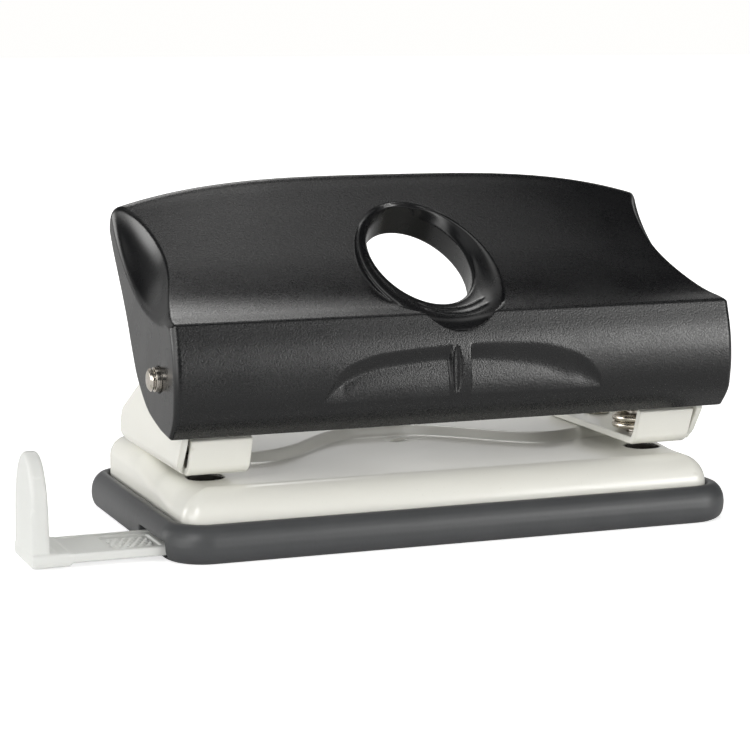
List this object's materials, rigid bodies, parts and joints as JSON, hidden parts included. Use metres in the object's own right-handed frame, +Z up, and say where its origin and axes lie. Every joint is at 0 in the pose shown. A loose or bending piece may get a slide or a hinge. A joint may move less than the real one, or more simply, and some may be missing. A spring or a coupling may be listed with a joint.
{
  "type": "two-hole paper punch",
  "caption": "Desk punch for filing paper: lever handle over sprung punches on a pressed steel base, with a chip tray below and a sliding paper guide at one side.",
  "frame": {"origin": "middle of the chip tray's flat underside", "axes": "+X along the punch, away from the end with the paper guide; -Y towards the side where the paper goes in; +Z up"},
  "size_m": [0.1223, 0.0574, 0.0585],
  "materials": {
    "black_plastic": "fine grained satin",
    "grey_plastic": "satin",
    "pale_plastic": "satin",
    "cream_paint": "gloss enamel",
    "chrome": "bright plated"
  },
  "bodies": {
    "tray": {"chip_tray": "grey_plastic"},
    "base": {"base_plate": "cream_paint", "left_bracket": "cream_paint", "left_rivet_front": "chrome", "left_rivet_rear": "chrome", "left_spring": "chrome", "right_bracket": "cream_paint", "right_rivet_front": "chrome", "right_rivet_rear": "chrome", "right_spring": "chrome"},
    "handle": {"handle_cover": "black_plastic", "pivot_rod": "chrome", "left_rod_clip": "chrome", "right_rod_clip": "chrome"},
    "left_plunger": {"left_punch": "chrome", "left_washer": "chrome", "left_punch_clip": "chrome"},
    "right_plunger": {"right_punch": "chrome", "right_washer": "chrome", "right_punch_clip": "chrome"},
    "guide": {"paper_guide": "pale_plastic"}
  },
  "joints": [
    {"name": "tray_release", "type": "slide", "parent": "tray", "child": "base", "axis": [0, 0, 1], "range_m": [0, 0.02]},
    {"name": "handle_press", "type": "hinge", "parent": "base", "child": "handle", "pos_m": [0, -0.0184, 0.0287], "axis": [-1, 0, 0], "range_deg": [0, 35], "stiffness_Nm_per_rad": 0.2, "springref_deg": -17.19},
    {"name": "left_punch_stroke", "type": "slide", "parent": "base", "child": "left_plunger", "axis": [0, 0, -1], "range_m": [0, 0.0046], "deforming": ["left_spring"]},
    {"name": "right_punch_stroke", "type": "slide", "parent": "base", "child": "right_plunger", "axis": [0, 0, -1], "range_m": [0, 0.0046], "deforming": ["right_spring"]},
    {"name": "guide_slide", "type": "slide", "parent": "tray", "child": "guide", "axis": [-1, 0, 0], "range_m": [-0.0065, 0.08]}
  ],
  "couplings": [
    {"joint": "left_punch_stroke", "follows": "handle_press", "m_per_rad": 0.0075},
    {"joint": "right_punch_stroke", "follows": "handle_press", "m_per_rad": 0.0075}
  ]
}
